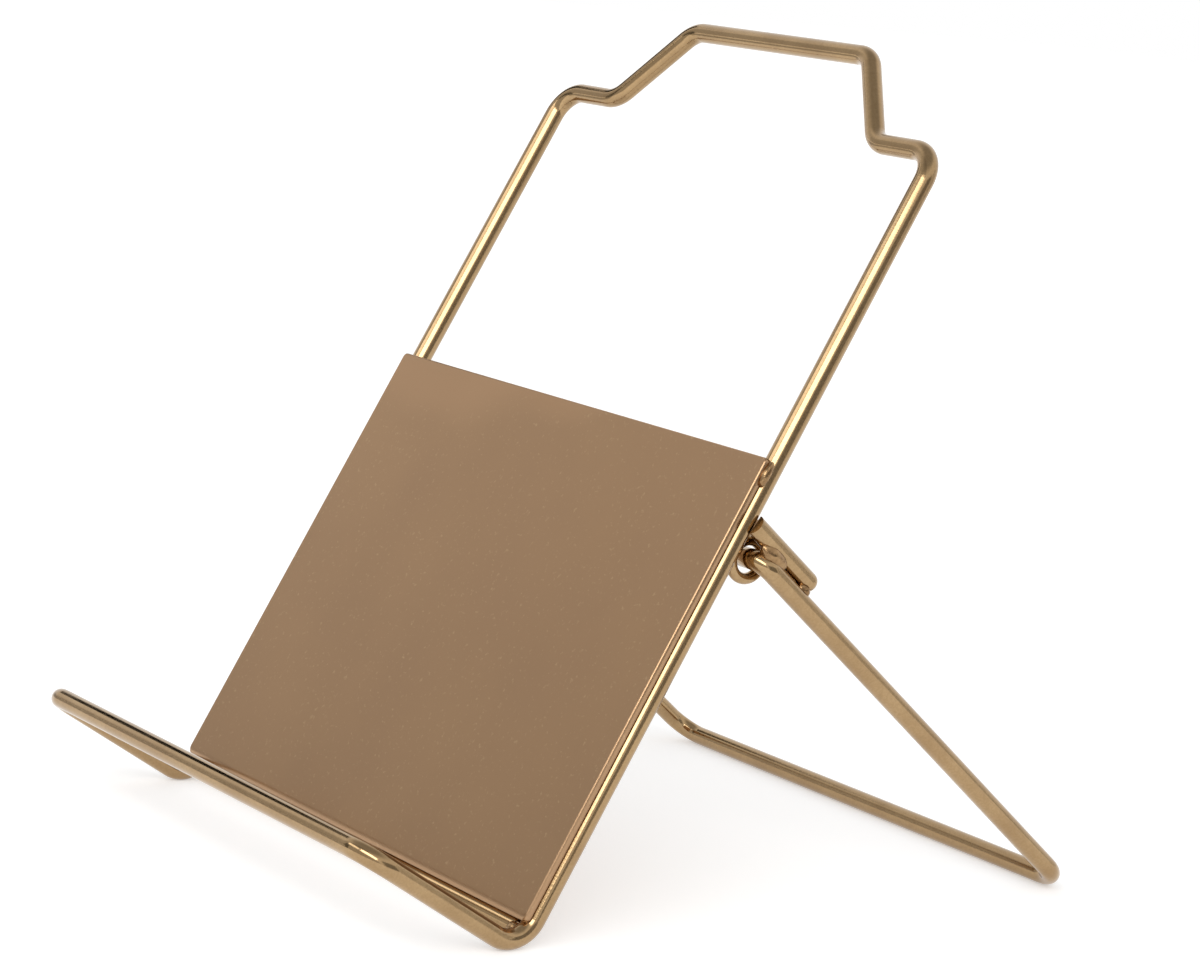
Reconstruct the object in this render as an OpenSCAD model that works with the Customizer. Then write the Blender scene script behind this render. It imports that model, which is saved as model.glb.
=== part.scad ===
// Folding wire book stand: a closed loop of round wire makes the back, the stepped crest and the lip,
// a sheet panel is soldered on its front, and a wire leg turns in two rings behind it.
// Millimetres, +Z up, the book faces -Y. The stand rests on z = 0, centred over the origin.

/* [Wire] */
// Diameter of the wire of the frame and the leg
wire_d = 4; // [3:0.5:5]
// Radius of the wide bends, on the wire's centre line
bend_r = 6; // [5:0.5:8]

/* [Frame] */
// Width between the centre lines of the uprights
frame_w = 120; // [110:1:180]
// Height of the shoulders, along the frame from its bottom corner
shoulder_h = 168; // [150:1:240]
// Rise of the crest above the shoulders, along the frame
crest_rise = 18; // [14:1:30]
// Width of the crest where it leaves the shoulders
crest_foot_w = 84; // [74:1:90]
// Width of the crest along its top
crest_top_w = 56; // [40:1:62]
// Lean of the frame from upright, in degrees
lean = 28; // [20:1:35]

/* [Lip] */
// Depth of the lip from the frame to its front bar
lip_depth = 40; // [30:1:60]
// Angle between the lip and the frame, in degrees
lip_angle = 87; // [80:1:95]

/* [Panel] */
// How far the sheet panel reaches past the centre lines of the uprights
panel_over = 1.5; // [1:0.1:2]
// Height of the sheet panel
panel_h = 96; // [60:1:130]
// Distance of the panel's lower edge from the frame's bottom corner
panel_rise = 5; // [4:0.5:12]
// Thickness of the sheet
sheet_t = 1.5; // [0.8:0.1:2.5]
// Corner radius of the sheet
sheet_corner_r = 1; // [1:0.5:6]
// How far the cross wire's centre line lies below the panel's lower edge
cross_drop = 1.2; // [0.8:0.1:1.5]

/* [Leg] */
// Height of the hinge axis, along the frame from its bottom corner
hinge_h = 84; // [70:1:95]
// Distance of the leg's foot bar behind the frame's bottom corner
leg_reach = 133; // [110:1:160]
// How far each arm's centre line lies outside its upright's
arm_offset = 2.8; // [2.6:0.1:3.4]
// Radius of the tight bend from an arm into its pivot pin
elbow_r = 3; // [2.6:0.1:3.2]
// How far a pivot pin runs on past its ring
pin_over = 1.5; // [1:0.5:4]

/* [Hinge] */
// Diameter of the wire of the hinge rings
ring_wire_d = 2.2; // [1.8:0.1:2.4]
// Distance of a ring inwards from its upright's centre line
ring_inset = 1.8; // [1.5:0.1:2.1]
// Clearance between a pivot pin and its ring, above the pin
pin_clearance = 0.3; // [0.3:0.05:0.6]
// How far a ring's centre hangs below the pin's, which leaves the gap under the pin
ring_sag = 0.3; // [0:0.1:1]

/* [Stop] */
// Length of a stop wire below the hinge axis, to its round end
stop_l = 14; // [11:0.5:20]
// How far a stop wire lies inwards from its arm, behind the upright
stop_inset = 1; // [0.5:0.1:1.2]
// Gap between a stop wire and its arm
stop_gap = 0.3; // [0.2:0.05:0.5]
// Clearance between a stop wire's end and the upright, with the leg open
stop_clearance = 0.3; // [0.25:0.05:0.5]

/* [Solder] */
// Radius of the solder beads
bead_r = 1.1; // [0.9:0.1:1.3]
// Length of the solder beads on the panel
panel_bead_l = 4; // [3:0.5:8]
// Length of the solder beads on the stop wires
stop_bead_l = 2; // [1:0.5:3]

/* [Hidden] */
$fn = 48;

wire_brass = "#b0926b";
sheet_brass = "#94765a";
dull_solder = "#7d6248";

wire_r = wire_d / 2;

// Drawn wire is a little thinner through a bend, and each straight run laps over the bends at its ends
bend_thinning = 0.02;
bend_wire_r = wire_r - bend_thinning;
run_lap = 0.05;

ring_r = ring_wire_d / 2;
crest_h = shoulder_h + crest_rise;
upright_x = frame_w / 2;
panel_w = frame_w + 2 * panel_over;

// The frame's own directions: up the uprights, and out of the panel towards the book
along = [0, sin(lean), cos(lean)];
out = [0, -cos(lean), sin(lean)];

// The lip rises to the front; the bend between it and an upright takes up some of both
lip_rise = 90 + lean - lip_angle;
bend_turn = 180 - lip_angle;
bend_cut = bend_r * tan(bend_turn / 2);
bend_middle = bend_r / sin(lip_angle / 2);
bend_aim = 90 - lean + lip_angle / 2;

// The bend's lowest point touches the table, and the whole stand is centred front to back
front_y = -lip_depth * cos(lip_rise) - wire_r;
rear_y = leg_reach + wire_r;
corner = [0, -(front_y + rear_y) / 2, bend_wire_r + bend_r - bend_middle * sin(bend_aim)];

// Pieces that are soldered together seat this close
seat_gap = 0.05;

// The cross wire fills the width between the uprights and seats on the back of the panel's lower edge
cross_h = panel_rise - cross_drop;
cross_out = wire_r - sqrt((wire_r + seat_gap) ^ 2 - cross_drop ^ 2);
cross_end_x = upright_x - wire_r - seat_gap;

// The ring is large enough for the pin and the gap under it, and touches the back of the upright
ring_mean_r = wire_r + pin_clearance + ring_sag + ring_r;
ring_x = upright_x - ring_inset;
ring_front = sqrt((wire_r + ring_r + seat_gap) ^ 2 - ring_inset ^ 2);
hinge_back = ring_front + ring_mean_r;
hinge = corner + hinge_h * along - hinge_back * out;

// The arms run straight from the hinge axis to the foot bar, which lies on the table
arm_x = upright_x + arm_offset;
foot = [0, corner.y + leg_reach, wire_r];
leg_l = norm(foot - hinge);
leg_slope = atan2(hinge.z - foot.z, foot.y - hinge.y);
pin_end_x = ring_x - ring_r - pin_over;

// A stop wire lies on its arm, clear of the ring, and runs past the hinge axis to the back of the upright
ring_side_gap = 0.4;
stop_x = max(arm_x - stop_inset, ring_x + ring_r + ring_side_gap + wire_r);
stop_lift = sqrt((wire_d + stop_gap) ^ 2 - (arm_x - stop_x) ^ 2);
stop_tilt = leg_slope - lean;
stop_reach = (hinge_back + stop_lift * sin(stop_tilt) - wire_r / 2) / cos(stop_tilt);

// Directions and turns along a flat path of [x, y, bend radius] points
function dir(path, i) =
    let (d = [path[i + 1].x - path[i].x, path[i + 1].y - path[i].y]) d / norm(d);
function turn(path, i) =
    let (u = dir(path, i - 1), w = dir(path, i)) atan2(u.x * w.y - u.y * w.x, u * w);
function cut(path, i) =
    i == 0 || i == len(path) - 1 ? 0 : path[i].z * tan(abs(turn(path, i)) / 2);

// Round wire bent along a flat path in the xy plane
module flat_wire(path) {
    last = len(path) - 1;
    for (i = [0 : last - 1]) {
        u = dir(path, i);
        heading = atan2(u.y, u.x);
        from = [path[i].x, path[i].y] + u * cut(path, i);
        to = [path[i + 1].x, path[i + 1].y] - u * cut(path, i + 1);
        translate(from - run_lap * u)
            rotate([0, 0, heading])
                rotate([0, 90, 0])
                    cylinder(h = norm(to - from) + 2 * run_lap, r = wire_r);
        if (i + 1 < last)
            translate(to)
                rotate([0, 0, heading])
                    rotate([turn(path, i + 1) < 0 ? 180 : 0, 0, 0])
                        translate([0, path[i + 1].z, 0])
                            rotate([0, 0, -90])
                                wire_arc(path[i + 1].z, abs(turn(path, i + 1)));
    }
}

// An arc of round wire in the xy plane, from the x axis on, or a cutter that much larger
module wire_arc(mean_r, angle, extra = 0) {
    rotate_extrude(angle = angle)
        translate([mean_r, 0])
            circle(r = bend_wire_r + extra);
}

// Places its children in the frame: x across, y up the uprights, z out of the panel
module frame_axes() {
    translate(corner)
        rotate([90 - lean, 0, 0])
            children();
}

// Places its children in the lip: x across, y out to its front bar
module lip_axes() {
    translate(corner)
        rotate([180 - lip_rise, 0, 0])
            children();
}

// Places its children in the leg: x across, y down the arms from the hinge axis, z up from them
module leg_axes() {
    translate(hinge)
        rotate([-leg_slope, 0, 0])
            children();
}

// Makes a piece of the right side on the left
module on_left() {
    mirror([1, 0, 0])
        children();
}

// The right upright's straight wire, or a cutter that much larger
module upright(extra = 0) {
    frame_axes()
        translate([upright_x, bend_cut - run_lap, 0])
            rotate([-90, 0, 0])
                cylinder(h = shoulder_h - bend_cut - bend_r + run_lap, r = wire_r + extra);
}

// The bend between the right upright and the lip, or a cutter that much larger
module bottom_bend(extra = 0) {
    translate(corner + [upright_x, 0, 0])
        rotate([90, 0, 90])
            translate([bend_middle * cos(bend_aim), bend_middle * sin(bend_aim), 0])
                rotate([0, 0, 270 - lip_rise])
                    wire_arc(bend_r, bend_turn, extra);
}

// The uprights and the crest from bend to bend, then the lip
back_path = [
    [upright_x, bend_cut, 0],
    [upright_x, shoulder_h, bend_r],
    [crest_foot_w / 2, shoulder_h, bend_r],
    [crest_top_w / 2, crest_h, bend_r],
    [-crest_top_w / 2, crest_h, bend_r],
    [-crest_foot_w / 2, shoulder_h, bend_r],
    [-upright_x, shoulder_h, bend_r],
    [-upright_x, bend_cut, 0]
];
lip_path = [
    [upright_x, bend_cut, 0],
    [upright_x, lip_depth, bend_r],
    [-upright_x, lip_depth, bend_r],
    [-upright_x, bend_cut, 0]
];

module frame_wire() {
    color(wire_brass)
        union() {
            frame_axes()
                flat_wire(back_path);
            lip_axes()
                flat_wire(lip_path);
            bottom_bend();
            on_left()
                bottom_bend();
        }
}

// The sheet lies on the front of the uprights and reaches a little past their centre lines
module back_panel() {
    r = sheet_corner_r;
    color(sheet_brass)
        frame_axes()
            translate([0, panel_rise, wire_r])
                linear_extrude(sheet_t)
                    union() {
                        translate([-panel_w / 2 + r, 0])
                            square([panel_w - 2 * r, panel_h]);
                        translate([-panel_w / 2, r])
                            square([panel_w, panel_h - 2 * r]);
                        for (x = [r - panel_w / 2, panel_w / 2 - r], y = [r, panel_h - r])
                            translate([x, y])
                                circle(r = r);
                    }
}

// A bead of solder along y, round at both ends
module bead(l) {
    rotate([-90, 0, 0])
        cylinder(h = l, r = bead_r);
    for (y = [0, l])
        translate([0, y, 0])
            sphere(r = bead_r);
}

// The right half of the sheet as a plain block, which the solder is cut back to
module panel_block() {
    frame_axes()
        translate([0, panel_rise, wire_r])
            cube([panel_w / 2, panel_h, sheet_t]);
}

// A bead in the corner between the panel's right edge and the upright, at the panel's top
upper_bead = panel_rise + panel_h - sheet_corner_r - bead_r - panel_bead_l;

module upper_panel_bead() {
    difference() {
        frame_axes()
            translate([panel_w / 2, upper_bead, wire_r - bead_r / 4])
                bead(panel_bead_l);
        upright();
        panel_block();
    }
}

module panel_solder_upper_right() {
    color(dull_solder)
        upper_panel_bead();
}

module panel_solder_upper_left() {
    color(dull_solder)
        on_left()
            upper_panel_bead();
}

// A bead along the cross wire, in the corner between it and the back of the panel
lower_bead_x = upright_x * 0.75;

module lower_panel_bead() {
    difference() {
        frame_axes()
            translate([lower_bead_x, panel_rise + bead_r, wire_r - bead_r / 2])
                rotate([0, 0, -90])
                    bead(panel_bead_l);
        cross_rod();
        panel_block();
    }
}

module panel_solder_lower_right() {
    color(dull_solder)
        lower_panel_bead();
}

module panel_solder_lower_left() {
    color(dull_solder)
        on_left()
            lower_panel_bead();
}

// A straight wire across the frame, behind and below the panel's lower edge
module cross_rod() {
    frame_axes()
        translate([-cross_end_x, cross_h, cross_out])
            rotate([0, 90, 0])
                cylinder(h = 2 * cross_end_x, r = wire_r);
}

module cross_wire() {
    color(wire_brass)
        cross_rod();
}

// Solder in the corner between the cross wire and the right bottom bend, in front
cross_bead_offset = wire_r * 0.75;

module cross_bead() {
    difference() {
        frame_axes()
            translate([cross_end_x - bead_r / 2, cross_h - cross_bead_offset, cross_out + cross_bead_offset])
                sphere(r = bead_r);
        cross_rod();
        bottom_bend(seat_gap);
    }
}

module cross_solder_right() {
    color(dull_solder)
        cross_bead();
}

module cross_solder_left() {
    color(dull_solder)
        on_left()
            cross_bead();
}

// A closed ring of thinner wire, upright in the side plane, that carries a pivot pin
module hinge_ring() {
    translate(hinge - ring_sag * along + [ring_x, 0, 0])
        rotate([0, 90, 0])
            rotate_extrude()
                translate([ring_mean_r, 0])
                    circle(r = ring_r);
}

module hinge_ring_right() {
    color(wire_brass)
        hinge_ring();
}

module hinge_ring_left() {
    color(wire_brass)
        on_left()
            hinge_ring();
}

// Solder fills the corner between a ring and its upright
ring_bead_r = ring_wire_d * 0.75;
ring_bead_back = ring_front * wire_r / (wire_r + ring_r);

module ring_bead() {
    difference() {
        frame_axes()
            translate([upright_x - ring_inset / 2, hinge_h - ring_sag, -ring_bead_back])
                sphere(r = ring_bead_r);
        upright();
        hinge_ring();
    }
}

module ring_solder_right() {
    color(dull_solder)
        ring_bead();
}

module ring_solder_left() {
    color(dull_solder)
        on_left()
            ring_bead();
}

// The leg is one wire bent to a U, with both ends turned inwards as pivot pins
leg_path = [
    [pin_end_x, 0, 0],
    [arm_x, 0, elbow_r],
    [arm_x, leg_l, bend_r],
    [-arm_x, leg_l, bend_r],
    [-arm_x, 0, elbow_r],
    [-pin_end_x, 0, 0]
];

module rear_leg() {
    color(wire_brass)
        leg_axes()
            flat_wire(leg_path);
}

// A short straight wire on top of the arm; its upper end is cut to bear on the upright
module leg_stop() {
    difference() {
        leg_axes()
            translate([stop_x, 0, stop_lift]) {
                translate([0, -stop_reach, 0])
                    rotate([-90, 0, 0])
                        cylinder(h = stop_reach + stop_l - wire_r, r = wire_r);
                translate([0, stop_l - wire_r, 0])
                    sphere(r = wire_r);
            }
        upright(stop_clearance);
    }
}

module leg_stop_right() {
    color(wire_brass)
        leg_stop();
}

module leg_stop_left() {
    color(wire_brass)
        on_left()
            leg_stop();
}

// A bead between a stop wire and its arm, at one place down the arm
upper_stop_bead = elbow_r + bead_r;
lower_stop_bead = stop_l - wire_r - stop_bead_l;

module stop_bead(place) {
    difference() {
        leg_axes()
            translate([(arm_x + stop_x) / 2, place, stop_lift / 2])
                bead(stop_bead_l);
        leg_axes()
            translate([arm_x, 0, 0])
                rotate([-90, 0, 0])
                    cylinder(h = leg_l / 2, r = wire_r);
        leg_stop();
    }
}

module stop_solder_upper_right() {
    color(dull_solder)
        stop_bead(upper_stop_bead);
}

module stop_solder_upper_left() {
    color(dull_solder)
        on_left()
            stop_bead(upper_stop_bead);
}

module stop_solder_lower_right() {
    color(dull_solder)
        stop_bead(lower_stop_bead);
}

module stop_solder_lower_left() {
    color(dull_solder)
        on_left()
            stop_bead(lower_stop_bead);
}

frame_wire();
back_panel();
panel_solder_upper_right();
panel_solder_upper_left();
panel_solder_lower_right();
panel_solder_lower_left();
cross_wire();
cross_solder_right();
cross_solder_left();
hinge_ring_right();
hinge_ring_left();
ring_solder_right();
ring_solder_left();
rear_leg();
leg_stop_right();
leg_stop_left();
stop_solder_upper_right();
stop_solder_upper_left();
stop_solder_lower_right();
stop_solder_lower_left();
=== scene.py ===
import math
import bmesh
import bpy
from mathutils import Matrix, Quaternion, Vector, noise


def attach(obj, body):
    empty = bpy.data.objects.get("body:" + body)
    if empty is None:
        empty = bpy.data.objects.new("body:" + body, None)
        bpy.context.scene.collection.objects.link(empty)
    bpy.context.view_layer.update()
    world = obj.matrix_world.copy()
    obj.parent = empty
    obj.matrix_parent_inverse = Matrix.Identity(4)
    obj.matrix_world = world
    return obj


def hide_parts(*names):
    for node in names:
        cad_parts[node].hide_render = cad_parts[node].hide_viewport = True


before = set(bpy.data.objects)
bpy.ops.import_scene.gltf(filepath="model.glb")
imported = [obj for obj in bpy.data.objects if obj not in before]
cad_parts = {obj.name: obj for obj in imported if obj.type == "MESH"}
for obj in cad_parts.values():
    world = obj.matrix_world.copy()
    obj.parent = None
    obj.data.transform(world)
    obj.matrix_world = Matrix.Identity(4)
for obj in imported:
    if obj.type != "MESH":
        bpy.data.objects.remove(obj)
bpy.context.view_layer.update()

# Frame wire
# One closed loop of 4 mm drawn steel wire, bent cold to the lip, the uprights and the stepped crest.
# Everything that is fixed to it is soldered on first, and then the whole frame is brass plated.
MM = 0.001
WIRE_R = 2 * MM
WIRE_SIDES = 32
END_CHAMFER = 0.15
BEND_R = 6 * MM
BEND_STEPS = 20
LEAN = math.radians(28)
LIP_RISE = math.radians(31)
UPRIGHT_X = 60 * MM
SHOULDER_H = 168 * MM
CREST_H = 186 * MM
CREST_FOOT_X = 42 * MM
CREST_TOP_X = 28 * MM
LIP_DEPTH = 40 * MM
# The lines of the uprights and of the lip meet at this corner
CORNER = Vector((0, -49.35665, -0.41943)) * MM
ALONG = Vector((0, math.sin(LEAN), math.cos(LEAN)))
OUT = Vector((0, -math.cos(LEAN), math.sin(LEAN)))
LIP_OUT = Vector((0, -math.cos(LIP_RISE), math.sin(LIP_RISE)))
# The two colours and the mixed one among a Mix node's sockets, which share their names with other kinds
COLOUR_A = 6
COLOUR_B = 7
MIXED = 2


def linear(hex_colour):
    """Turns an sRGB hex colour into the linear colour that the shaders take."""
    parts = [int(hex_colour[i : i + 2], 16) / 255 for i in (1, 3, 5)]
    return [c / 12.92 if c <= 0.04045 else ((c + 0.055) / 1.055) ** 2.4 for c in parts] + [1]


def add(tree, kind, inputs=None, **settings):
    """Adds a node, sets its settings, and sets or links each of its inputs."""
    node = tree.nodes.new(kind)
    for name, value in settings.items():
        setattr(node, name, value)
    for socket, value in (inputs or {}).items():
        if isinstance(value, bpy.types.NodeSocket):
            tree.links.new(value, node.inputs[socket])
        else:
            node.inputs[socket].default_value = value
    return node


def on_frame(x, up, out=0.0):
    """A point of the leaning frame: across it, up the uprights and out towards the book."""
    return CORNER + Vector((x, 0, 0)) + up * ALONG + out * OUT


def on_lip(x, reach):
    """A point of the lip: across it and out to its front bar."""
    return CORNER + Vector((x, 0, 0)) + reach * LIP_OUT


def bent_line(corners, radii, closed):
    """The centre line of a wire that runs straight between its corners and is bent round at each."""
    line = []
    for i, corner in enumerate(corners):
        if not closed and i in (0, len(corners) - 1):
            line.append(corner)
            continue
        back = (corners[i - 1] - corner).normalized()
        ahead = (corners[(i + 1) % len(corners)] - corner).normalized()
        half = back.angle(ahead) / 2
        middle = corner + (back + ahead).normalized() * radii[i] / math.sin(half)
        first = corner + back * radii[i] / math.tan(half) - middle
        last = corner + ahead * radii[i] / math.tan(half) - middle
        turn = first.rotation_difference(last)
        for step in range(BEND_STEPS + 1):
            line.append(middle + Quaternion().slerp(turn, step / BEND_STEPS) @ first)
    return line


def swept_wire(name, line, radius, closed):
    """Sweeps a round section along a centre line. Its UV map goes round and along the wire, in metres."""
    count = len(line)
    headings = []
    for i in range(count):
        before = line[i - 1] if closed or i > 0 else line[i]
        after = line[(i + 1) % count] if closed or i < count - 1 else line[i]
        headings.append((after - before).normalized())
    sides = [headings[0].orthogonal().normalized()]
    for i in range(1, count):
        sides.append(headings[i - 1].rotation_difference(headings[i]) @ sides[i - 1])
    lengths = [0.0]
    for i in range(1, count + 1):
        lengths.append(lengths[-1] + (line[i % count] - line[i - 1]).length)
    rings = [(line[i], headings[i], sides[i], radius, lengths[i]) for i in range(count)]
    if closed:
        # The section comes round turned a little, and that turn is shared out along the wire
        end_side = headings[-1].rotation_difference(headings[0]) @ sides[-1]
        twist = math.atan2(headings[0].dot(sides[0].cross(end_side)), sides[0].dot(end_side))
        for i, (place, heading, side, size, length) in enumerate(rings):
            untwist = Quaternion(heading, -twist * length / lengths[-1])
            rings[i] = (place, heading, untwist @ side, size, length)
    else:
        # Cut ends are filed round by a small chamfer
        chamfer = radius * END_CHAMFER
        place, heading, side, size, length = rings[0]
        rings[0] = (place + chamfer * heading, heading, side, size, chamfer)
        rings.insert(0, (place, heading, side, size - chamfer, length))
        place, heading, side, size, length = rings[-1]
        rings[-1] = (place - chamfer * heading, heading, side, size, length - chamfer)
        rings.append((place, heading, side, size - chamfer, length))
    points = []
    for place, heading, side, size, _ in rings:
        other = heading.cross(side)
        for j in range(WIRE_SIDES):
            angle = 2 * math.pi * j / WIRE_SIDES
            points.append(place + size * (math.cos(angle) * side + math.sin(angle) * other))
    faces = []
    uvs = []
    around = 2 * math.pi * radius / WIRE_SIDES
    for i in range(len(rings) if closed else len(rings) - 1):
        nearer = i * WIRE_SIDES
        further = (i + 1) % len(rings) * WIRE_SIDES
        low = rings[i][-1]
        high = lengths[-1] if i + 1 == len(rings) else rings[i + 1][-1]
        for j in range(WIRE_SIDES):
            k = (j + 1) % WIRE_SIDES
            faces.append((nearer + j, nearer + k, further + k, further + j))
            uvs += [j * around, low, (j + 1) * around, low, (j + 1) * around, high, j * around, high]
    smooth = [True] * len(faces)
    if not closed:
        faces.append(tuple(reversed(range(WIRE_SIDES))))
        faces.append(tuple(range(len(points) - WIRE_SIDES, len(points))))
        uvs += [0.0, 0.0] * (2 * WIRE_SIDES)
        smooth += [False, False]
    mesh = bpy.data.meshes.new(name)
    mesh.from_pydata(points, [], faces)
    mesh.uv_layers.new(name="round_and_along").data.foreach_set("uv", uvs)
    mesh.polygons.foreach_set("use_smooth", smooth)
    mesh.update()
    return mesh


def fix_piece(mesh, material, body, node):
    """Puts a mesh into the scene as the piece that stands for a CAD node and moves with its body."""
    mesh.materials.append(material)
    piece = bpy.data.objects.new(mesh.name, mesh)
    bpy.context.scene.collection.objects.link(piece)
    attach(piece, body)
    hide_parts(node)


# Brass plate on drawn and polished steel wire, under thin clear lacquer that whitens its bright streaks.
# It mirrors the room softly, with clouds of tarnish some millimetres long, and the marks that polishing left
# across the wire fray the edges of its reflections. The marks are really some 0.05 mm wide; they are drawn
# wider, so that they show, and so is the grain of the plate, which breaks up the smooth tones a little.
WIRE_CLOUD = 9 * MM
WIRE_GRAIN = 0.5 * MM
POLISH_LENGTH = 4 * MM
POLISH_WIDTH = 0.4 * MM
POLISH_DEPTH = 0.006 * MM
plated_wire = bpy.data.materials.new("brass_plated_wire")
plated_wire.use_nodes = True
tree = plated_wire.node_tree
tree.nodes.clear()
place = add(tree, "ShaderNodeTexCoord")
cloud = add(
    tree,
    "ShaderNodeTexNoise",
    {"Vector": place.outputs["Object"], "Scale": 1 / WIRE_CLOUD, "Detail": 3.0, "Roughness": 0.55},
)
tarnish = add(tree, "ShaderNodeMapRange", {"Value": cloud.outputs["Fac"], "From Min": 0.3, "From Max": 0.7})
cloudy = add(
    tree,
    "ShaderNodeMix",
    {"Factor": tarnish.outputs["Result"], COLOUR_A: linear("#a38660"), COLOUR_B: linear("#b0936b")},
    data_type="RGBA",
)
grain = add(
    tree, "ShaderNodeTexNoise", {"Vector": place.outputs["Object"], "Scale": 1 / WIRE_GRAIN, "Detail": 2.0}
)
dull = add(
    tree,
    "ShaderNodeMapRange",
    {"Value": grain.outputs["Fac"], "From Min": 0.35, "From Max": 0.65, "To Min": 0.35, "To Max": 0.0},
)
colour = add(
    tree,
    "ShaderNodeMix",
    {"Factor": dull.outputs["Result"], COLOUR_A: cloudy.outputs[MIXED], COLOUR_B: linear("#93764f")},
    data_type="RGBA",
)
sheen = add(
    tree,
    "ShaderNodeMapRange",
    {"Value": cloud.outputs["Fac"], "From Min": 0.3, "From Max": 0.7, "To Min": 0.17, "To Max": 0.12},
)
across = add(
    tree,
    "ShaderNodeVectorMath",
    {0: place.outputs["UV"], 1: (1 / POLISH_LENGTH, 1 / POLISH_WIDTH, 0)},
    operation="MULTIPLY",
)
marks = add(tree, "ShaderNodeTexNoise", {"Vector": across.outputs["Vector"], "Scale": 1.0, "Detail": 3.0})
relief = add(
    tree, "ShaderNodeBump", {"Height": marks.outputs["Fac"], "Strength": 1.0, "Distance": POLISH_DEPTH}
)
shader = add(
    tree,
    "ShaderNodeBsdfPrincipled",
    {
        "Base Color": colour.outputs[MIXED],
        "Metallic": 1.0,
        "Roughness": sheen.outputs["Result"],
        "Normal": relief.outputs["Normal"],
        "Coat Weight": 0.35,
        "Coat Roughness": 0.06,
    },
)
add(tree, "ShaderNodeOutputMaterial", {"Surface": shader.outputs["BSDF"]})

frame_corners = [
    on_lip(-UPRIGHT_X, LIP_DEPTH),
    on_lip(UPRIGHT_X, LIP_DEPTH),
    on_frame(UPRIGHT_X, 0),
    on_frame(UPRIGHT_X, SHOULDER_H),
    on_frame(CREST_FOOT_X, SHOULDER_H),
    on_frame(CREST_TOP_X, CREST_H),
    on_frame(-CREST_TOP_X, CREST_H),
    on_frame(-CREST_FOOT_X, SHOULDER_H),
    on_frame(-UPRIGHT_X, SHOULDER_H),
    on_frame(-UPRIGHT_X, 0),
]
frame_line = bent_line(frame_corners, [BEND_R] * len(frame_corners), True)
frame_mesh = swept_wire("bent_frame_wire", frame_line, WIRE_R, True)
fix_piece(frame_mesh, plated_wire, "frame", "frame_wire")

# Cross wire
# A straight length of the same wire, cut to fit between the uprights and soldered in just above the lip.
# The sheet panel's lower edge rests on it, so that the panel is held along three sides.
CROSS_X = 57.95 * MM
CROSS_UP = 3.8 * MM
CROSS_OUT = 0.338 * MM
cross_line = [on_frame(x, CROSS_UP, CROSS_OUT) for x in (-CROSS_X, CROSS_X)]
cross_mesh = swept_wire("cut_cross_wire", cross_line, WIRE_R, False)
fix_piece(cross_mesh, plated_wire, "frame", "cross_wire")

# Back panel
# A flat sheet of 1.5 mm steel, sheared to size, with its front edges rubbed round, most along the bottom.
# It lies on the front of the uprights and the cross wire, is soldered to both and plated with them.
PANEL_HALF_W = 61.5 * MM
PANEL_LOW = 5 * MM
PANEL_HALF_H = 48 * MM
SHEET_T = 1.5 * MM
SHEET_CORNER_R = 1 * MM
SHEET_CORNER_STEPS = 6
EDGE_DEPTH = 0.6 * MM
EDGE_INSET = 0.35 * MM
LOWER_EDGE_INSET = 1.3 * MM
EDGE_STEPS = 6
BACK_BREAK = 0.12 * MM
sheet_levels = [(BACK_BREAK, BACK_BREAK, 0.0), (0.0, 0.0, BACK_BREAK)]
for step in range(EDGE_STEPS + 1):
    angle = math.pi / 2 * step / EDGE_STEPS
    share = 1 - math.cos(angle)
    depth = SHEET_T - EDGE_DEPTH + EDGE_DEPTH * math.sin(angle)
    sheet_levels.append((EDGE_INSET * share, LOWER_EDGE_INSET * share, depth))
sheet_points = []
for inset, lower_inset, depth in sheet_levels:
    for quarter, (x_sign, y_sign) in enumerate([(1, 1), (-1, 1), (-1, -1), (1, -1)]):
        for step in range(SHEET_CORNER_STEPS + 1):
            angle = math.pi / 2 * (quarter + step / SHEET_CORNER_STEPS)
            x = x_sign * (PANEL_HALF_W - SHEET_CORNER_R) + (SHEET_CORNER_R - inset) * math.cos(angle)
            y = y_sign * (PANEL_HALF_H - SHEET_CORNER_R) + (SHEET_CORNER_R - inset) * math.sin(angle)
            if y_sign < 0:
                y += lower_inset - inset
            sheet_points.append(on_frame(x, PANEL_LOW + PANEL_HALF_H + y, WIRE_R + depth))
sheet_round = 4 * (SHEET_CORNER_STEPS + 1)
sheet_faces = []
for level in range(len(sheet_levels) - 1):
    nearer = level * sheet_round
    further = nearer + sheet_round
    for j in range(sheet_round):
        k = (j + 1) % sheet_round
        sheet_faces.append((nearer + j, nearer + k, further + k, further + j))
sheet_smooth = [True] * len(sheet_faces) + [False, False]
sheet_faces.append(tuple(reversed(range(sheet_round))))
sheet_faces.append(tuple(range(len(sheet_points) - sheet_round, len(sheet_points))))
sheet_mesh = bpy.data.meshes.new("sheared_back_panel")
sheet_mesh.from_pydata(sheet_points, [], sheet_faces)
sheet_mesh.polygons.foreach_set("use_smooth", sheet_smooth)
sheet_mesh.update()

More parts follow.
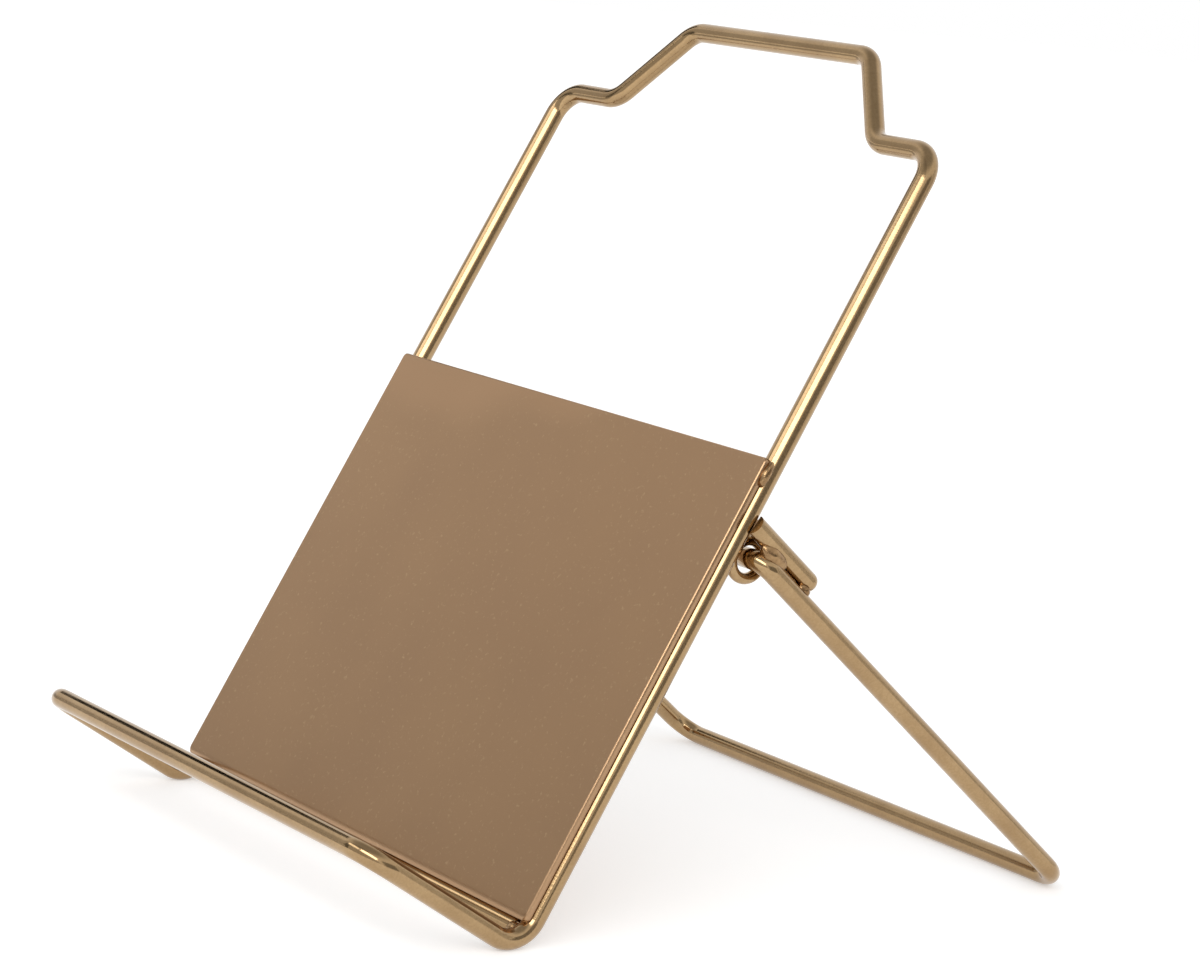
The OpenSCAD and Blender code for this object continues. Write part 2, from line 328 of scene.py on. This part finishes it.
# Brass plate on cold rolled steel sheet. It is satin, so it shows its surroundings only as soft tones,
# slightly uneven where the sheet waves and where the shears curled its top edge back, most at the left.
# The paler reflection that the curled top edge throws is painted into the colour there, as a painted sheen.
# Dust in the plating bath left a fine pale speckle, drawn a little coarser than it is, so that it shows.
SHEET_CLOUD = 30 * MM
SHEET_WAVE = 24 * MM
SHEET_WAVE_DEPTH = 0.08 * MM
SHEET_SPECK = 0.8 * MM
CURL_REACH = 15 * MM
CURL_RIGHT_END = 22 * MM
CURL_WANDER = 12 * MM
CURL_LENGTH = 18 * MM
CURL_DEPTH = 0.4 * MM
CURL_START = PANEL_LOW + 2 * PANEL_HALF_H + CURL_WANDER / 2
# How far in from the start of the curl the painted sheen on the top edge fades up to full
PAINTED_SHEEN_FADE = 7 * MM
plated_sheet = bpy.data.materials.new("brass_plated_sheet")
plated_sheet.use_nodes = True
tree = plated_sheet.node_tree
tree.nodes.clear()
place = add(tree, "ShaderNodeTexCoord").outputs["Object"]
cloud = add(tree, "ShaderNodeTexNoise", {"Vector": place, "Scale": 1 / SHEET_CLOUD, "Detail": 4.0})
tone = add(tree, "ShaderNodeMapRange", {"Value": cloud.outputs["Fac"], "From Min": 0.3, "From Max": 0.7})
cloudy = add(
    tree,
    "ShaderNodeMix",
    {"Factor": tone.outputs["Result"], COLOUR_A: linear("#ab8a6a"), COLOUR_B: linear("#b18f6d")},
    data_type="RGBA",
)
speck = add(tree, "ShaderNodeTexNoise", {"Vector": place, "Scale": 1 / SHEET_SPECK, "Detail": 2.0})
spot = add(
    tree,
    "ShaderNodeMapRange",
    {"Value": speck.outputs["Fac"], "From Min": 0.62, "From Max": 0.78, "To Min": 0.0, "To Max": 0.5},
)
colour = add(
    tree,
    "ShaderNodeMix",
    {"Factor": spot.outputs["Result"], COLOUR_A: cloudy.outputs[MIXED], COLOUR_B: linear("#cdb08a")},
    data_type="RGBA",
)
sheen = add(
    tree,
    "ShaderNodeMapRange",
    {"Value": cloud.outputs["Fac"], "From Min": 0.3, "From Max": 0.7, "To Min": 0.32, "To Max": 0.28},
)
wave = add(tree, "ShaderNodeTexNoise", {"Vector": place, "Scale": 1 / SHEET_WAVE, "Detail": 0.0})
flatness = add(
    tree, "ShaderNodeBump", {"Height": wave.outputs["Fac"], "Strength": 1.0, "Distance": SHEET_WAVE_DEPTH}
)
from_corner = add(tree, "ShaderNodeVectorMath", {0: place, 1: CORNER}, operation="SUBTRACT")
up = add(
    tree, "ShaderNodeVectorMath", {0: from_corner.outputs["Vector"], 1: ALONG}, operation="DOT_PRODUCT"
)
wander = add(
    tree,
    "ShaderNodeMath",
    {0: wave.outputs["Fac"], 1: CURL_WANDER, 2: up.outputs["Value"]},
    operation="MULTIPLY_ADD",
)
width = add(tree, "ShaderNodeSeparateXYZ", {"Vector": place}).outputs["X"]
leftness = add(
    tree,
    "ShaderNodeMapRange",
    {"Value": width, "From Min": -PANEL_HALF_W, "From Max": CURL_RIGHT_END, "To Min": 1.0, "To Max": 0.0},
)
past_start = add(
    tree,
    "ShaderNodeMath",
    {0: leftness.outputs["Result"], 1: CURL_REACH, 2: wander.outputs["Value"]},
    operation="MULTIPLY_ADD",
)
curl = add(
    tree,
    "ShaderNodeMapRange",
    {"Value": past_start.outputs["Value"], "From Min": CURL_START, "From Max": CURL_START + CURL_LENGTH},
    interpolation_type="SMOOTHSTEP",
)
# Painted sheen: the colour turns paler along the curled top edge, standing in for the brighter reflection
# there
painted_sheen_mask = add(
    tree,
    "ShaderNodeMapRange",
    {"Value": past_start.outputs["Value"], "From Min": CURL_START, "From Max": CURL_START + PAINTED_SHEEN_FADE},
    interpolation_type="SMOOTHSTEP",
)
with_painted_sheen = add(
    tree,
    "ShaderNodeMix",
    {"Factor": painted_sheen_mask.outputs["Result"], COLOUR_A: colour.outputs[MIXED], COLOUR_B: linear("#b3906e")},
    data_type="RGBA",
)
edge_curl = add(
    tree,
    "ShaderNodeBump",
    {
        "Height": curl.outputs["Result"],
        "Strength": 1.0,
        "Distance": CURL_DEPTH,
        "Normal": flatness.outputs["Normal"],
    },
    invert=True,
)
shader = add(
    tree,
    "ShaderNodeBsdfPrincipled",
    {
        "Base Color": with_painted_sheen.outputs[MIXED],
        "Metallic": 1.0,
        "Roughness": sheen.outputs["Result"],
        "Normal": edge_curl.outputs["Normal"],
    },
)
add(tree, "ShaderNodeOutputMaterial", {"Surface": shader.outputs["BSDF"]})
fix_piece(sheet_mesh, plated_sheet, "frame", "back_panel")

# Panel solder
# Solder run into the corners between the panel's top edges and the uprights, along the cross wire behind
# the panel, and where the cross wire meets the bottom bends. It set in smooth, slightly lumpy fillets.
BEAD_LUMP = 0.1
BEAD_LUMP_PITCH = 1.6
BEAD_SPLITS = 4
SIDES = (("right", 1), ("left", -1))
ACROSS = Vector((1, 0, 0))

# Soft solder under the brass plate. The plate takes badly on it, so it is duller and browner than the wire,
# pitted here and there, with a soft shine on its crown. The pits are some tenths of a millimetre wide.
SOLDER_CLOUD = 1.4 * MM
SOLDER_PIT = 0.35 * MM
SOLDER_PIT_DEPTH = 0.03 * MM
plated_solder = bpy.data.materials.new("brass_plated_solder")
plated_solder.use_nodes = True
tree = plated_solder.node_tree
tree.nodes.clear()
place = add(tree, "ShaderNodeTexCoord").outputs["Object"]
cloud = add(tree, "ShaderNodeTexNoise", {"Vector": place, "Scale": 1 / SOLDER_CLOUD, "Detail": 3.0})
tone = add(tree, "ShaderNodeMapRange", {"Value": cloud.outputs["Fac"], "From Min": 0.35, "From Max": 0.65})
colour = add(
    tree,
    "ShaderNodeMix",
    {"Factor": tone.outputs["Result"], COLOUR_A: linear("#86694a"), COLOUR_B: linear("#ab8b64")},
    data_type="RGBA",
)
pits = add(tree, "ShaderNodeTexNoise", {"Vector": place, "Scale": 1 / SOLDER_PIT, "Detail": 2.0})
relief = add(
    tree, "ShaderNodeBump", {"Height": pits.outputs["Fac"], "Strength": 1.0, "Distance": SOLDER_PIT_DEPTH}
)
shader = add(
    tree,
    "ShaderNodeBsdfPrincipled",
    {
        "Base Color": colour.outputs[MIXED],
        "Metallic": 1.0,
        "Roughness": 0.24,
        "Normal": relief.outputs["Normal"],
    },
)
add(tree, "ShaderNodeOutputMaterial", {"Surface": shader.outputs["BSDF"]})


def solder_fillet(name, body, node, centre, half_axes, mirror, seed):
    """Makes a fillet of solder that fills an ellipsoid, with soft lumps of its own that the seed picks."""
    shape = bmesh.new()
    bmesh.ops.create_icosphere(shape, subdivisions=BEAD_SPLITS, radius=1)
    for vert in shape.verts:
        lump = 1 + BEAD_LUMP * noise.noise(vert.co * BEAD_LUMP_PITCH + Vector((seed, 0, 0)))
        spread = sum((axis * part for axis, part in zip(half_axes, vert.co)), Vector())
        vert.co = centre + lump * spread
        vert.co.x *= mirror
    for face in shape.faces:
        face.smooth = True
    bmesh.ops.recalc_face_normals(shape, faces=shape.faces)
    mesh = bpy.data.meshes.new(name)
    shape.to_mesh(mesh)
    shape.free()
    fix_piece(mesh, plated_solder, body, node)


edge_fillet = on_frame(x=61.7 * MM, up=98.2 * MM, out=2.0 * MM)
edge_axes = (0.9 * MM * ACROSS, 2.5 * MM * ALONG, 0.95 * MM * OUT)
seam_fillet = on_frame(x=47 * MM, up=6.0 * MM, out=1.4 * MM)
seam_axes = (3.1 * MM * ACROSS, 1.1 * MM * ALONG, 0.95 * MM * OUT)
corner_fillet = on_frame(x=57.9 * MM, up=2.9 * MM, out=1.5 * MM)
corner_axes = (1.9 * MM * ACROSS, 1.7 * MM * ALONG, 1.3 * MM * OUT)
for seed, (side, mirror) in enumerate(SIDES):
    edge_node = "panel_solder_upper_" + side
    seam_node = "panel_solder_lower_" + side
    corner_node = "cross_solder_" + side
    solder_fillet("edge_solder_" + side, "frame", edge_node, edge_fillet, edge_axes, mirror, seed)
    solder_fillet("seam_solder_" + side, "frame", seam_node, seam_fillet, seam_axes, mirror, seed + 2)
    solder_fillet(
        "corner_solder_" + side, "frame", corner_node, corner_fillet, corner_axes, mirror, seed + 4
    )

# Hinge rings
# A ring of 2.2 mm wire on the back of each upright carries one of the leg's pivot pins.
# It is wound on a rod, closed and soldered to the upright; the solder fills the corner between them.
RING_R = 1.1 * MM
RING_MEAN_R = 3.7 * MM
RING_X = 58.2 * MM
RING_SAG = 0.3 * MM
RING_STEPS = 64
HINGE = Vector((0, -4.37167, 70.79752)) * MM
ring_fillet = on_frame(x=59.1 * MM, up=83.7 * MM, out=-1.7 * MM)
ring_axes = (1.55 * MM * ACROSS, 2.2 * MM * ALONG, 1.4 * MM * OUT)
for seed, (side, mirror) in enumerate(SIDES):
    ring_middle = HINGE - RING_SAG * ALONG + mirror * RING_X * ACROSS
    ring_line = []
    for step in range(RING_STEPS):
        angle = 2 * math.pi * step / RING_STEPS
        ring_line.append(ring_middle + RING_MEAN_R * (math.cos(angle) * ALONG + math.sin(angle) * OUT))
    ring_mesh = swept_wire("wound_hinge_ring_" + side, ring_line, RING_R, True)
    fix_piece(ring_mesh, plated_wire, "frame", "hinge_ring_" + side)
    ring_node = "ring_solder_" + side
    solder_fillet("ring_fillet_" + side, "frame", ring_node, ring_fillet, ring_axes, mirror, seed + 6)

# Rear leg
# One length of the 4 mm wire bent to a U. Its ends turn in sharply through the rings as pivot pins,
# and its middle is the foot bar that lies on the table.
LEG_SLOPE = math.radians(38.0132)
LEG_L = 111.7128 * MM
ARM_X = 62.8 * MM
ELBOW_R = 3 * MM
PIN_END_X = 55.6 * MM
DOWN = Vector((0, math.cos(LEG_SLOPE), -math.sin(LEG_SLOPE)))
LIFT = Vector((0, math.sin(LEG_SLOPE), math.cos(LEG_SLOPE)))


def on_leg(x, down, lift=0.0):
    """A point of the leg: across it, down its arms from the hinge and up off them."""
    return HINGE + x * ACROSS + down * DOWN + lift * LIFT


leg_corners = [
    on_leg(PIN_END_X, 0),
    on_leg(ARM_X, 0),
    on_leg(ARM_X, LEG_L),
    on_leg(-ARM_X, LEG_L),
    on_leg(-ARM_X, 0),
    on_leg(-PIN_END_X, 0),
]
leg_line = bent_line(leg_corners, [0, ELBOW_R, BEND_R, BEND_R, ELBOW_R, 0], False)
leg_mesh = swept_wire("bent_rear_leg", leg_line, WIRE_R, False)
fix_piece(leg_mesh, plated_wire, "leg", "rear_leg")

# Leg stops
# A short piece of the same wire is soldered along each arm, round at its lower end and filed hollow at its
# upper end, where it bears on the back of the upright and stops the open leg. Its solid has that shape
# already and stays in view, with the wire's finish.
upper_stop_fillet = on_leg(x=62.6 * MM, down=1.5 * MM, lift=2.2 * MM)
upper_stop_axes = (1.8 * MM * ACROSS, 3.6 * MM * DOWN, 1.9 * MM * LIFT)
lower_stop_fillet = on_leg(x=62.3 * MM, down=11.8 * MM, lift=2.1 * MM)
lower_stop_axes = (1.7 * MM * ACROSS, 1.7 * MM * DOWN, 1.4 * MM * LIFT)
for seed, (side, mirror) in enumerate(SIDES):
    stop_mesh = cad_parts["leg_stop_" + side].data
    stop_mesh.materials.clear()
    stop_mesh.materials.append(plated_wire)
    upper_node = "stop_solder_upper_" + side
    lower_node = "stop_solder_lower_" + side
    solder_fillet(
        "upper_stop_fillet_" + side, "leg", upper_node, upper_stop_fillet, upper_stop_axes, mirror, seed + 8
    )
    solder_fillet(
        "lower_stop_fillet_" + side, "leg", lower_node, lower_stop_fillet, lower_stop_axes, mirror, seed + 10
    )

# Floor
# A plain pale table top that runs out of the picture and keeps the stand's soft shadow.
# It is matt paint, filled up to white for the eye and for what mirrors it, more so far away.
FLOOR_HALF = 6.0
FILL_NEAR = 0.4
FILL_FAR = 0.6
NEAR = 0.3
FAR = 2.0
matt_floor = bpy.data.materials.new("matt_white_paint")
matt_floor.use_nodes = True
tree = matt_floor.node_tree
tree.nodes.clear()
path = add(tree, "ShaderNodeLightPath")
seen = add(
    tree,
    "ShaderNodeMath",
    {0: path.outputs["Is Camera Ray"], 1: path.outputs["Is Glossy Ray"]},
    operation="MAXIMUM",
)
shown = add(
    tree,
    "ShaderNodeMath",
    {0: seen.outputs["Value"], 1: path.outputs["Is Transmission Ray"]},
    operation="MAXIMUM",
)
place = add(tree, "ShaderNodeTexCoord").outputs["Object"]
away = add(tree, "ShaderNodeVectorMath", {0: place}, operation="LENGTH")
level = add(
    tree,
    "ShaderNodeMapRange",
    {
        "Value": away.outputs["Value"],
        "From Min": NEAR,
        "From Max": FAR,
        "To Min": FILL_NEAR,
        "To Max": FILL_FAR,
    },
)
fill = add(
    tree, "ShaderNodeMath", {0: shown.outputs["Value"], 1: level.outputs["Result"]}, operation="MULTIPLY"
)
paint = add(tree, "ShaderNodeBsdfDiffuse", {"Color": linear("#e6e6e6")})
glow = add(tree, "ShaderNodeEmission", {"Color": linear("#ffffff"), "Strength": fill.outputs["Value"]})
both = add(tree, "ShaderNodeAddShader", {0: paint.outputs["BSDF"], 1: glow.outputs["Emission"]})
add(tree, "ShaderNodeOutputMaterial", {"Surface": both.outputs["Shader"]})
floor_corners = [(-1, -1), (1, -1), (1, 1), (-1, 1)]
floor_mesh = bpy.data.meshes.new("floor")
floor_mesh.from_pydata([(x * FLOOR_HALF, y * FLOOR_HALF, 0) for x, y in floor_corners], [], [(0, 1, 2, 3)])
floor_mesh.materials.append(matt_floor)
floor = bpy.data.objects.new("floor", floor_mesh)
bpy.context.scene.collection.objects.link(floor)

# Studio light
# The room is white behind the stand and dimmer in front of it and overhead. A wide soft lamp at the front
# right draws the bright streaks on the uprights, and a dim one fills in from the left. Grey cards out of
# the picture draw the darker lines along the wires, and a black one high on the left draws the lip's.
ROOM_FRONT = 0.62
ROOM_BACK = 1.0
ROOM_TOP = 0.45
# Where the room's light passes from one level to the next, as a direction's part along Y or along Z
FRONT_ENDS = -0.46
BACK_STARTS = -0.35
TOP_STARTS = 0.65
TOP_FULL = 0.95
STAND_MIDDLE = Vector((0, 0, 0.08))
studio = bpy.data.worlds.new("studio")
studio.use_nodes = True
bpy.context.scene.world = studio
tree = studio.node_tree
tree.nodes.clear()
direction = add(tree, "ShaderNodeTexCoord").outputs["Generated"]
parts = add(tree, "ShaderNodeSeparateXYZ", {"Vector": direction})
room = add(
    tree,
    "ShaderNodeMapRange",
    {
        "Value": parts.outputs["Y"],
        "From Min": FRONT_ENDS,
        "From Max": BACK_STARTS,
        "To Min": ROOM_FRONT,
        "To Max": ROOM_BACK,
    },
    interpolation_type="SMOOTHSTEP",
)
ceiling = add(
    tree,
    "ShaderNodeMapRange",
    {
        "Value": parts.outputs["Z"],
        "From Min": TOP_STARTS,
        "From Max": TOP_FULL,
        "To Min": 1.0,
        "To Max": ROOM_TOP,
    },
    interpolation_type="SMOOTHSTEP",
)
level = add(
    tree, "ShaderNodeMath", {0: room.outputs["Result"], 1: ceiling.outputs["Result"]}, operation="MULTIPLY"
)
sky = add(tree, "ShaderNodeBackground", {"Color": linear("#ffffff"), "Strength": level.outputs["Value"]})
add(tree, "ShaderNodeOutputWorld", {"Surface": sky.outputs["Background"]})


def soft_lamp(name, place, roll, width, height, watts):
    """Hangs a soft lamp at a point, turned to the stand and rolled about its line of sight, in degrees."""
    light = bpy.data.lights.new(name, "AREA")
    light.shape = "RECTANGLE"
    light.size = width
    light.size_y = height
    light.energy = watts
    lamp = bpy.data.objects.new(name, light)
    lamp.location = place
    facing = (STAND_MIDDLE - Vector(place)).to_track_quat("-Z", "Y")
    lamp.rotation_mode = "QUATERNION"
    lamp.rotation_quaternion = facing @ Quaternion((0, 0, 1), math.radians(roll))
    bpy.context.scene.collection.objects.link(lamp)


soft_lamp("right_lamp", place=(0.74, -0.88, 0.84), roll=-22, width=1.2, height=0.44, watts=8.0)
soft_lamp("left_lamp", place=(-0.37, -1.09, 0.98), roll=8, width=0.95, height=0.34, watts=1.9)


def grey_card(name, low, width, height, tone):
    """Stands a grey card with the middle of its lower edge at a point, turned to the stand, out of sight."""
    foot = Vector(low)
    across = Vector((foot.y, -foot.x, 0)).normalized() * width / 2
    rise = Vector((0, 0, height))
    corners = [foot - across, foot + across, foot + across + rise, foot - across + rise]
    paper = bpy.data.materials.new(name + "_paper")
    paper.use_nodes = True
    tree = paper.node_tree
    tree.nodes.clear()
    matt = add(tree, "ShaderNodeBsdfDiffuse", {"Color": linear(tone)})
    add(tree, "ShaderNodeOutputMaterial", {"Surface": matt.outputs["BSDF"]})
    mesh = bpy.data.meshes.new(name)
    mesh.from_pydata(corners, [], [(0, 1, 2, 3)])
    mesh.materials.append(paper)
    card = bpy.data.objects.new(name, mesh)
    card.visible_camera = False
    card.visible_diffuse = False
    card.visible_shadow = False
    bpy.context.scene.collection.objects.link(card)


grey_card("right_card", low=(0.62, 0.11, 0.0), width=0.54, height=0.34, tone="#a8a8a8")
grey_card("rear_card", low=(0.396, 0.49, 0.0), width=0.38, height=0.34, tone="#ededed")
grey_card("front_card", low=(-0.8, -1.1, 0.0), width=0.4, height=0.8, tone="#7a7a7a")
grey_card("left_card", low=(-0.38, -0.25, 0.0), width=0.42, height=0.1, tone="#cccccc")
grey_card("high_card", low=(-0.7, -0.01, 0.36), width=0.3, height=0.27, tone="#080808")

# Camera
# It stands low in front of the stand and to its right and is held a little tilted, as for the photograph.
# Its place, aim and lens were fitted to the stand's edges there.
CAMERA_PLACE = Vector((0.5397, -0.4063, 0.1832))
CAMERA_AIM = Vector((0.0203, -0.0116, 0.0768))
CAMERA_ROLL = math.radians(5.92)
SENSOR_MM = 36
LENS_MM = 102.5
camera_data = bpy.data.cameras.new("camera")
camera_data.sensor_width = SENSOR_MM
camera_data.lens = LENS_MM
camera = bpy.data.objects.new("camera", camera_data)
camera.location = CAMERA_PLACE
facing = (CAMERA_AIM - CAMERA_PLACE).to_track_quat("-Z", "Y")
camera.rotation_mode = "QUATERNION"
camera.rotation_quaternion = facing @ Quaternion((0, 0, 1), CAMERA_ROLL)
bpy.context.scene.collection.objects.link(camera)
bpy.context.scene.camera = camera
bpy.context.scene.view_settings.view_transform = "Standard"
